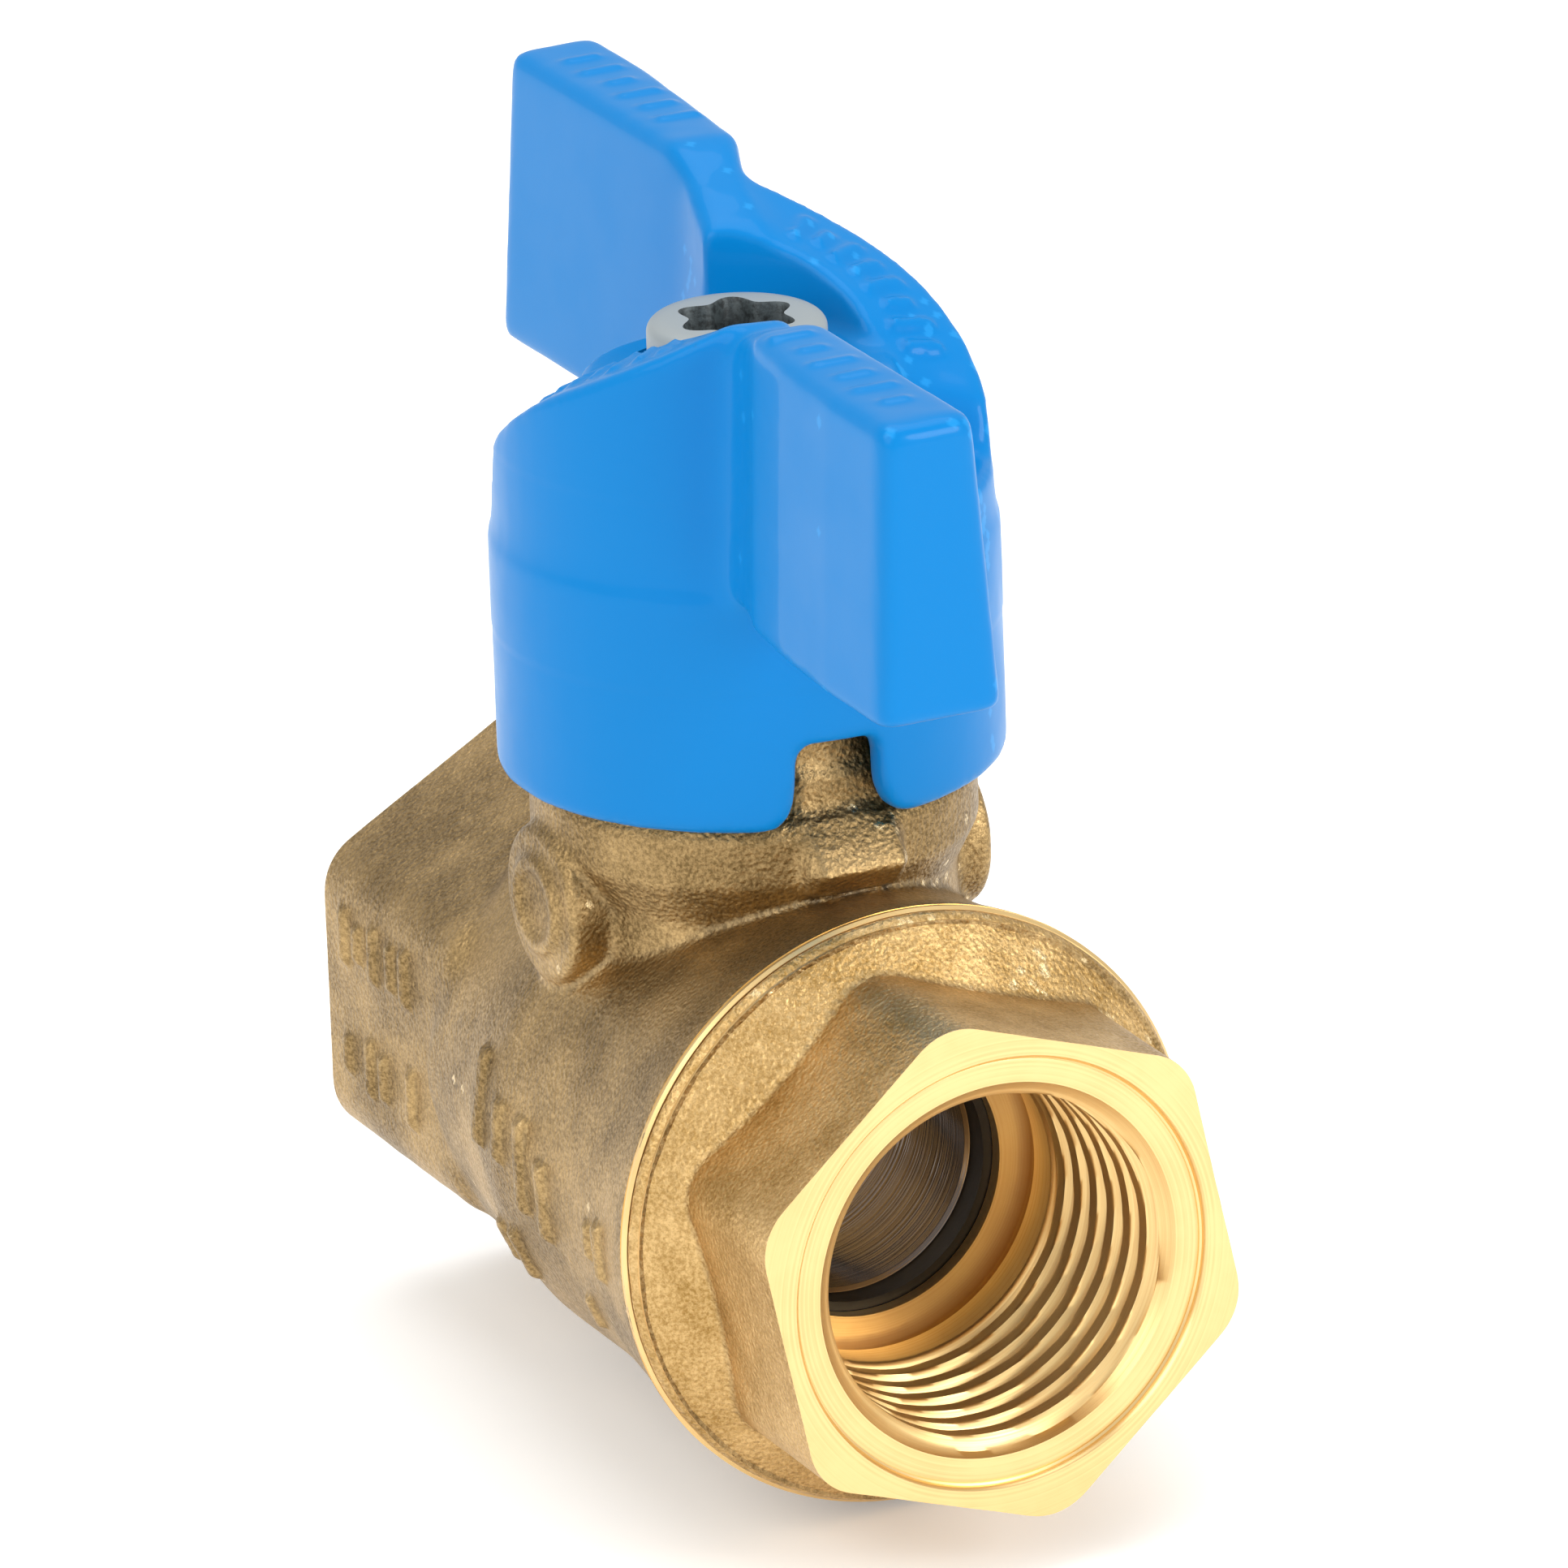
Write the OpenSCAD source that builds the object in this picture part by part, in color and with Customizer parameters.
// Two-piece brass ball valve with a cast butterfly handle, quarter turn, millimetres.
// The origin is where the pipe axis (X) crosses the stem axis (Z), at the centre of the ball.
// The end cap and the outlet port are on the +X side. The handle is drawn in the open position.

/* [Ports] */
// Distance from the valve centre to each port face
port_face = 22.4; // [20:0.1:28]
// Wall radius of the tapped port bores
port_r = 7.35; // [6.6:0.05:8.8]
// Length of the chamfer at each port mouth
port_chamfer = 1.2; // [0.6:0.1:1.4]
// Length of the thread relief groove at the bottom of each port
groove_w = 0.8; // [0.5:0.1:1.2]
// Depth of the thread relief groove
groove_depth = 0.5; // [0.2:0.1:0.6]
// Width of both hexagons across their flats
hex_af = 20; // [19:0.1:24]
// How far the hexagon of the end cap is turned from that of the body, in degrees
cap_turn = 11.5; // [0:0.5:59]

/* [Ball and seats] */
// Radius of the ball
ball_r = 9.7; // [9:0.1:11.7]
// Radius of the waterway through the ball
way_r = 5.5; // [4.6:0.1:6]
// Radial width of the seat rings
seat_w = 2.9; // [2.4:0.1:3.4]
// Thickness of the seat rings along the pipe
seat_t = 2.5; // [2.1:0.1:3]
// Thickness of the brass lip behind each seat
lip_t = 0.7; // [0.5:0.1:1]
// Width of the slot in the top of the ball
slot_w = 3.2; // [2.6:0.1:3.8]

/* [Body] */
// Wall thickness around the ball
body_wall = 1.8; // [1.5:0.1:2.4]
// Where the end cap's flange meets the body
seam_x = 13.57; // [12.5:0.05:15]
// Wall of the body's rim around the end cap's thread
rim_wall = 2.35; // [1.9:0.05:3.5]
// Radius of the neck below the handle
neck_r = 9.3; // [9:0.1:9.8]
// Radius of the neck between the side bosses
waist_r = 8.4; // [8:0.1:9]
// Radius of the neck inside the handle's skirt
collar_r = 8.2; // [7:0.1:8.3]
// Height of the top of the neck
neck_top = 21; // [20:0.1:22]
// Radius of the round boss on each side of the neck
boss_r = 3.28; // [2.6:0.02:3.9]
// Height of the side bosses
boss_z = 10.1; // [9:0.1:11]
// Distance from the middle to the face of each side boss
boss_y = 9.75; // [9.6:0.05:11]

/* [End cap] */
// How far the cap's flange stays below the body's rim
flange_drop = 0.17; // [0.1:0.01:0.5]
// Length of the domed flange
flange_t = 3.6; // [2.8:0.1:4.2]
// Thickness of the section of the joint seal
joint_seal_d = 0.9; // [0.7:0.05:1.1]

/* [Stem] */
// Radius of the stem
stem_r = 3.4; // [2.9:0.1:4.1]
// How far the stem's collar stands out, which keeps the stem from blowing out
collar_w = 1.0; // [0.8:0.1:1.3]
// Thickness of the stem's collar
collar_t = 1.3; // [1:0.1:1.6]
// Thickness of the thrust washer
washer_t = 0.8; // [0.6:0.1:1]
// Thickness of the section of the stem seals
seal_d = 1.04; // [0.84:0.02:1.25]
// Distance from the thrust washer's pocket up to the lower stem seal
seal_low_up = 2.25; // [1.5:0.05:3]
// Distance between the two stem seals
seal_apart = 3; // [2.4:0.1:4]
// Width of the stem across its driving flats
drive_w = 4.8; // [4:0.1:5.4]

/* [Handle] */
// Outer radius of the handle's skirt
skirt_r = 10.6; // [10.4:0.1:12.8]
// Thickness of the skirt's wall
skirt_wall = 1.4; // [1:0.1:1.6]
// Height of the bottom of the skirt
skirt_z = 15.8; // [15.6:0.1:17]
// Height of the parting line, where the wings begin
parting_z = 26.1; // [24:0.1:27.5]
// How far the hub above the parting line stays inside the skirt
hub_step = 0.15; // [0.05:0.01:0.4]
// Height of the lowest part of the hub's top
hub_low_z = 28.2; // [28:0.1:29]
// Height of the floor that the screw's head rests on
seat_z = 30.8; // [30:0.1:32]
// Radius of the well around the screw's head
well_r = 5; // [4.2:0.1:5.6]
// Height of the ring around the well
ring_z = 32.4; // [31.4:0.1:34]
// Radius of the inner edge of the ramps
ramp_in_r = 6; // [5.9:0.1:7]
// Height of the ramps where they leave the wings
ramp_top_z = 37.2; // [36:0.1:38]
// How far each ramp drops from end to end
ramp_drop = 6.4; // [4:0.1:8]
// Angle that each ramp sweeps, from inside its wing
ramp_sweep = 69; // [40:1:90]
// Distance from the stem axis to the end of each wing
wing_x = 27.4; // [24:0.1:33]
// Height of the wings' top edges
wing_z = 39; // [34:0.1:46]
// Distance from the pipe's plane to the middle of each wing
wing_y = 4.45; // [3.5:0.05:5.2]
// Thickness of a wing at its top
wing_top_t = 3.95; // [3:0.05:5]
// Thickness of a wing at the parting line
wing_low_t = 5.1; // [4:0.05:6]
// Radius of the corners along a wing's top
wing_round = 0.8; // [0.3:0.1:1.3]
// Distance from the stem axis at which a wing's top begins to fall towards the hub
wing_fall_x = 13.2; // [11:0.1:16]
// Slope of that fall, in degrees
wing_fall = 17; // [5:1:20]
// Height of the drain notch's top
notch_z = 19.5; // [17:0.1:20]
// Angles at which the drain notch begins and ends
notch_from = -15.4; // [-20:0.1:-10]
notch_to = 5.5; // [2:0.1:12]

/* [Handle screw] */
// Radius of the screw's head
head_r = 3.75; // [3:0.01:4.1]
// Height of the screw's head
head_h = 4; // [3.2:0.1:4.8]
// Radius of the screw's shank
shank_r = 2; // [1.6:0.05:2.3]
// Length of the screw below its head
shank_l = 8; // [6:0.5:9]
// Distance from the axis to the corners of the driving socket
socket_r = 2.4; // [1.8:0.1:2.6]
// Depth of the driving socket
socket_depth = 2.2; // [1.5:0.1:2.6]

/* [Travel] */
// Angle through which the handle turns from open to closed
travel = 90; // [80:1:100]
// Width of the stop lug on the neck, in degrees
lug_angle = 30; // [20:1:40]
// Width of each stop rib in the skirt, in degrees
rib_angle = 12; // [8:1:16]

/* [Hidden] */
$fn = 96;

// Clearances
run_gap = 0.05;        // between a turning part and the bore or seat around it
fit_gap = 0.05;        // between parts that are pushed or screwed together
ball_gap = 0.3;        // between the ball and the walls of its chamber
swing_gap = 0.2;       // between the handle's skirt and the neck
stop_gap = 0.5;        // between the stop lug and a rib at the end of travel, in degrees
seal_squeeze = 0.01;   // what keeps a drawn seal off its groove and bore
eps = 0.02;            // how far a cut runs past the face it opens

// Ball, seats and the chamber around them
chamber_r = ball_r + ball_gap;
seat_in_r = way_r + 0.15;
seat_out_r = seat_in_r + seat_w;
lip_r = seat_in_r + 0.4;
// The front of a seat stands where the ball's surface is 1.5 mm wider than the seat's bore
seat_x = sqrt(pow(ball_r + run_gap, 2) - pow(seat_in_r + 1.45, 2));
seat_back_x = seat_x + seat_t;
shoulder_x = seat_back_x + lip_t;
tap_start = shoulder_x + groove_w;
tap_end = port_face - port_chamfer;
slot_floor = way_r + 1.5;

// Thread between the end cap and the body
joint_r = max(chamber_r + 0.6, seat_out_r + 1.2);
spigot_x = seat_x - 0.2;
chamber_end_x = spigot_x - fit_gap;
joint_seal_x = seam_x - 1.5;
belly_r = chamber_r + body_wall;
rim_r = joint_r + rim_wall;
flange_r = rim_r - flange_drop;

// Stack along the stem
tang_low = slot_floor + 0.15;
stem_collar_z = chamber_r - 0.05;
stem_collar_r = stem_r + collar_w;
washer_z = stem_collar_z + collar_t + run_gap;
roof_z = washer_z + washer_t + run_gap;
seal_low_z = roof_z + seal_low_up;
seal_high_z = seal_low_z + seal_apart;
drive_z = neck_top + 1.2;
stem_top = seat_z - 0.6;
stem_bore_r = stem_r + run_gap;

// Handle
skirt_in_r = skirt_r - skirt_wall;
hub_r = skirt_r - hub_step;
core_r = 5.6;                 // post around the driving hole
core_top = parting_z + 1.4;   // ceiling of the hollow under the hub
ring_r = max(well_r + 1.6, ramp_in_r + 0.6);
stop_r = skirt_in_r - swing_gap;
rib_in_r = collar_r + swing_gap;
lug_from = 180 - lug_angle / 2;
ramp_start = 30;               // inside the wing at every radius of the ramp
ramp_steps = 4;

// A solid of revolution about the pipe axis, from points given as [distance along X, radius]
module turned(points) {
    rotate([0, 90, 0]) rotate_extrude() polygon([for (p = points) [p[1], p[0]]]);
}

// A hexagonal bar along X between two distances, its flats turned by an angle from +Y
module hex_bar(from, to, turn) {
    translate([from, 0, 0]) rotate([turn, 0, 0]) rotate([0, 90, 0])
        cylinder(h = to - from, r = hex_af / 2 / cos(30), $fn = 6);
}

// A wedge about Z between two angles, used to cut sectors out of rings
module sector(from, to, low, high, reach) {
    steps = max(2, ceil((to - from) / 20));
    translate([0, 0, low]) linear_extrude(high - low)
        polygon(concat([[0, 0]], [for (i = [0 : steps])
            let (a = from + (to - from) * i / steps) [reach * cos(a), reach * sin(a)]]));
}

// What is cut from a port, drawn for the +X side: waterway, seat pocket, relief, bore, chamfer
module port_cut(pocket_from) {
    turned([[pocket_from, 0], [pocket_from, seat_out_r + fit_gap],
            [seat_back_x + fit_gap, seat_out_r + fit_gap], [seat_back_x + fit_gap, lip_r],
            [shoulder_x, lip_r], [shoulder_x, port_r + groove_depth],
            [tap_start, port_r + groove_depth], [tap_start, port_r], [tap_end, port_r],
            [port_face + eps, port_r + port_chamfer + eps], [port_face + eps, 0]]);
}

// Ring seal with a round section, about Z at the origin
module round_ring(mid_r, section_d) {
    rotate_extrude() translate([mid_r, 0]) circle(d = section_d, $fn = 32);
}

module seat() {
    difference() {
        turned([[seat_x, seat_in_r], [seat_x, seat_out_r], [seat_back_x, seat_out_r],
                [seat_back_x, seat_in_r]]);
        sphere(r = ball_r + run_gap);
    }
}

// Outer shape of the forging between the hexagon and the seam: a waist, the belly, the rim
module body_barrel() {
    tail_r = belly_r - 1.05;
    turned([[-port_face + 6, 0], [-port_face + 6, tail_r - 0.6], [-11, tail_r - 0.1],
            [-8, tail_r + 0.1], [-6, tail_r + 0.4], [-4, belly_r - 0.25], [-2, belly_r],
            [4, belly_r], [6, belly_r + 0.1], [seam_x - 5.5, belly_r + 0.35],
            [seam_x - 3.5, rim_r - 0.55], [seam_x - 1.4, rim_r - 0.1], [seam_x - 1, rim_r],
            [seam_x - 0.15, rim_r], [seam_x, rim_r - 0.15], [seam_x, 0]]);
}

// Neck that carries the stem: flared under the skirt, narrower inside it
module neck() {
    shoulder_z = skirt_z - 0.4;
    rotate_extrude() polygon([[0, 0], [waist_r, 0], [waist_r, boss_z + 0.7],
        [neck_r, boss_z + 2.6], [neck_r, shoulder_z - 0.3], [stop_r - 0.2, shoulder_z],
        [collar_r, skirt_z + 0.5], [collar_r, neck_top - 0.4], [collar_r - 0.4, neck_top],
        [0, neck_top]]);
}

// Web of the forging below the drain notch
module front_gusset() {
    gusset_half_w = 1.9;
    top_x = sqrt(pow(stop_r, 2) - pow(gusset_half_w, 2)) - 0.1;
    translate([0, gusset_half_w, 0]) rotate([90, 0, 0]) linear_extrude(2 * gusset_half_w)
        polygon([[collar_r - 1.5, skirt_z - 5], [neck_r + 1.3, skirt_z - 2.6],
                 [top_x, skirt_z - 0.4], [top_x - 0.1, skirt_z + 1.2],
                 [collar_r - 0.6, skirt_z + 1.7]]);
}

// Lug on the neck that meets the handle's ribs when the valve is fully open or closed
module stop_lug() {
    intersection() {
        sector(lug_from, lug_from + lug_angle, skirt_z + 1, neck_top - 0.6, 2 * stop_r);
        translate([0, 0, skirt_z]) cylinder(h = neck_top - skirt_z, r = stop_r);
    }
}

module body() {
    color("#ad916a") difference() {
        union() {
            intersection() {
                hex_bar(-port_face, -9.5, 0);
                turned([[-port_face, 0], [-port_face, hex_af * 0.555], [-port_face + 0.6, hex_af * 0.568],
                        [-9.5, hex_af * 0.568], [-9.5, 0]]);
            }
            body_barrel();
            neck();
            front_gusset();
            stop_lug();
            translate([-0.5, boss_y, boss_z]) rotate([90, 17, 0]) cylinder(h = 2 * boss_y, r = boss_r);
        }
        mirror([1, 0, 0]) port_cut(spigot_x - 0.3);
        // chamber for the ball, open to the cap's thread
        turned([[-spigot_x, 0], [-spigot_x, chamber_r], [chamber_end_x, chamber_r],
                [chamber_end_x, joint_r], [seam_x + eps, joint_r], [seam_x + eps, 0]]);
        // pocket for the stem's collar and its washer, and the stem's bore
        cylinder(h = roof_z, r = stem_collar_r + run_gap);
        cylinder(h = neck_top + 1, r = stem_bore_r);
    }
}

module end_cap() {
    hex_from = seam_x + flange_t - 0.4;
    seal_floor_r = joint_r - joint_seal_d - 2 * seal_squeeze;
    seal_half_w = joint_seal_d / 2 + 0.08;
    dome_steps = 10;
    dome_low_r = hex_af / 2 + 0.1;
    dome = [for (i = [0 : dome_steps]) let (a = 90 * i / dome_steps)
        [seam_x + 0.6 + (flange_t - 0.6) * sin(a), dome_low_r + (flange_r - dome_low_r) * cos(a)]];
    color("#c29c64") difference() {
        union() {
            turned(concat([[spigot_x, 0], [spigot_x, joint_r - fit_gap - 0.4],
                [spigot_x + 0.4, joint_r - fit_gap],
                [joint_seal_x - seal_half_w, joint_r - fit_gap],
                [joint_seal_x - seal_half_w, seal_floor_r], [joint_seal_x + seal_half_w, seal_floor_r],
                [joint_seal_x + seal_half_w, joint_r - fit_gap], [seam_x, joint_r - fit_gap],
                [seam_x, flange_r - 0.15], [seam_x + 0.15, flange_r]], dome,
                [[hex_from + 1, 0]]));
            intersection() {
                hex_bar(hex_from - 1.4, port_face, cap_turn);
                turned([[hex_from - 1.4, 0], [hex_from - 1.4, flange_r - 1], [port_face - 0.5, hex_af * 0.572],
                        [port_face, hex_af * 0.558], [port_face, 0]]);
            }
        }
        port_cut(spigot_x - eps);
    }
}

// The slot lies across the waterway when the valve is open
module ball() {
    color("#8f8a84") difference() {
        sphere(r = ball_r);
        turned([[-ball_r, 0], [-ball_r, way_r], [ball_r, way_r], [ball_r, 0]]);
        translate([-slot_w / 2, -ball_r, slot_floor]) cube([slot_w, 2 * ball_r, ball_r]);
    }
}

module inlet_seat() {
    color("#1b1615") mirror([1, 0, 0]) seat();
}

module outlet_seat() {
    color("#1b1615") seat();
}

module joint_seal() {
    color("#1b1615") translate([joint_seal_x, 0, 0]) rotate([0, 90, 0])
        round_ring(joint_r - joint_seal_d / 2 - seal_squeeze, joint_seal_d);
}

module stem() {
    tang_t = slot_w - 2 * fit_gap;
    tang_l = 2 * (stem_collar_r - 1.4);
    seal_floor_r = stem_r - seal_d - seal_squeeze;
    seal_half_w = seal_d / 2 + 0.1;
    color("#c6a56e") difference() {
        union() {
            translate([-tang_t / 2, -tang_l / 2, tang_low])
                cube([tang_t, tang_l, stem_collar_z + 0.5 - tang_low]);
            rotate_extrude() polygon([[0, stem_collar_z], [stem_collar_r, stem_collar_z],
                [stem_collar_r, stem_collar_z + collar_t], [stem_r, stem_collar_z + collar_t],
                [stem_r, seal_low_z - seal_half_w], [seal_floor_r, seal_low_z - seal_half_w],
                [seal_floor_r, seal_low_z + seal_half_w], [stem_r, seal_low_z + seal_half_w],
                [stem_r, seal_high_z - seal_half_w], [seal_floor_r, seal_high_z - seal_half_w],
                [seal_floor_r, seal_high_z + seal_half_w], [stem_r, seal_high_z + seal_half_w],
                [stem_r, drive_z], [0, drive_z]]);
            intersection() {
                translate([0, 0, drive_z - 0.5]) cylinder(h = stem_top - drive_z + 0.5, r = stem_r);
                translate([-drive_w / 2, -stem_r, drive_z - 0.5])
                    cube([drive_w, 2 * stem_r, stem_top - drive_z + 0.5]);
            }
        }
        translate([0, 0, seat_z - shank_l - 0.5]) cylinder(h = shank_l + 1, r = shank_r + fit_gap);
    }
}

module thrust_washer() {
    color("#e9e4da") translate([0, 0, washer_z]) difference() {
        cylinder(h = washer_t, r = stem_collar_r);
        translate([0, 0, -1]) cylinder(h = washer_t + 2, r = stem_bore_r);
    }
}

module lower_stem_seal() {
    color("#1c1c1d") translate([0, 0, seal_low_z]) round_ring(stem_r - seal_d / 2, seal_d);
}

module upper_stem_seal() {
    color("#1c1c1d") translate([0, 0, seal_high_z]) round_ring(stem_r - seal_d / 2, seal_d);
}

// Height of a ramp's top, a share of the way along its sweep
function ramp_z(share) = ramp_top_z - ramp_drop * pow(share, 1.06);

// One ramp: a ring sector whose top falls away clockwise from the wing at +X, in short slopes
module ramp() {
    mid_r = (ramp_in_r + hub_r) / 2;
    step = ramp_sweep / ramp_steps;
    difference() {
        intersection() {
            translate([0, 0, hub_low_z - 0.2]) cylinder(h = wing_z - hub_low_z, r = hub_r);
            sector(-ramp_start - ramp_sweep, -ramp_start, parting_z, wing_z + 1, 2 * hub_r);
        }
        translate([0, 0, parting_z]) cylinder(h = wing_z, r = ramp_in_r);
        for (i = [0 : ramp_steps - 1]) {
            high = ramp_z(i / ramp_steps);
            low = ramp_z((i + 1) / ramp_steps);
            slope = atan((high - low) / (mid_r * step * PI / 180));
            middle = -ramp_start - step * (i + 0.5);
            intersection() {
                sector(middle - step / 2, middle + step / 2, parting_z, wing_z + 2, 3 * hub_r);
                rotate([0, 0, middle]) translate([mid_r, 0, (high + low) / 2]) rotate([slope, 0, 0])
                    translate([-2 * hub_r, -2 * hub_r, 0]) cube(4 * hub_r);
            }
        }
    }
}

// Cross-section of a wing, with draft from the parting line up and rounded top corners
module wing_profile() {
    low = wing_low_t / 2;
    top = wing_top_t / 2;
    corner = [for (i = [0 : 4]) let (a = 22.5 * i)
        [top - wing_round + wing_round * sin(a), wing_z - wing_round + wing_round * cos(a)]];
    polygon(concat([[-low, parting_z], [low, parting_z]], [for (i = [4 : -1 : 0]) corner[i]],
                   [for (p = corner) [-p[0], p[1]]]));
}

// One wing, on the +X side and off centre towards -Y
module wing() {
    root_x = 3;
    difference() {
        translate([root_x, -wing_y, 0]) rotate([90, 0, 90]) linear_extrude(wing_x - root_x) wing_profile();
        translate([wing_fall_x, -2 * wing_x, wing_z]) rotate([0, -wing_fall, 0])
            translate([-2 * wing_x, 0, 0]) cube([2 * wing_x, 4 * wing_x, wing_x]);
    }
}

module handle() {
    color("#2496e9") difference() {
        union() {
            difference() {
                translate([0, 0, skirt_z]) cylinder(h = parting_z - skirt_z, r = skirt_r);
                translate([0, 0, skirt_z - 1]) cylinder(h = drive_z - skirt_z + 1, r = skirt_in_r);
            }
            // stop ribs, one at each end of the lug's travel
            for (from = [lug_from - stop_gap - rib_angle, lug_from + lug_angle + travel + stop_gap])
                difference() {
                    sector(from, from + rib_angle, skirt_z + 0.8, drive_z + 0.2, skirt_r - 0.2);
                    translate([0, 0, skirt_z]) cylinder(h = drive_z, r = rib_in_r);
                }
            translate([0, 0, parting_z]) cylinder(h = hub_low_z - parting_z, r = hub_r);
            translate([0, 0, parting_z]) cylinder(h = ring_z - parting_z, r = ring_r);
            for (turn = [0, 180]) rotate([0, 0, turn]) {
                wing();
                ramp();
            }
        }
        // hollow around the core
        difference() {
            translate([0, 0, drive_z - 1]) cylinder(h = core_top - drive_z + 1, r = skirt_in_r);
            translate([0, 0, drive_z]) cylinder(h = core_top, r = core_r);
        }
        sector(notch_from, notch_to, skirt_z - 1, notch_z, 2 * skirt_r);
        translate([0, 0, seat_z]) cylinder(h = wing_z, r = well_r);
        translate([0, 0, ring_z]) cylinder(h = wing_z, r = ramp_in_r);
        // driving hole with two flats
        intersection() {
            translate([0, 0, drive_z - 1]) cylinder(h = seat_z - drive_z + 2, r = stem_r + fit_gap);
            translate([-drive_w / 2 - fit_gap, -2 * stem_r, drive_z - 1])
                cube([drive_w + 2 * fit_gap, 4 * stem_r, seat_z - drive_z + 2]);
        }
    }
}

module handle_screw() {
    color("#9ba3a4") difference() {
        union() {
            translate([0, 0, seat_z]) rotate_extrude() polygon([[0, 0], [head_r, 0],
                [head_r, head_h - 0.35], [head_r - 0.35, head_h], [0, head_h]]);
            translate([0, 0, seat_z - shank_l]) cylinder(h = shank_l + 1, r = shank_r);
        }
        translate([0, 0, seat_z + head_h - socket_depth]) cylinder(h = socket_depth + 1, r = socket_r, $fn = 6);
    }
}

body();
end_cap();
ball();
inlet_seat();
outlet_seat();
joint_seal();
stem();
thrust_washer();
lower_stem_seal();
upper_stem_seal();
handle();
handle_screw();
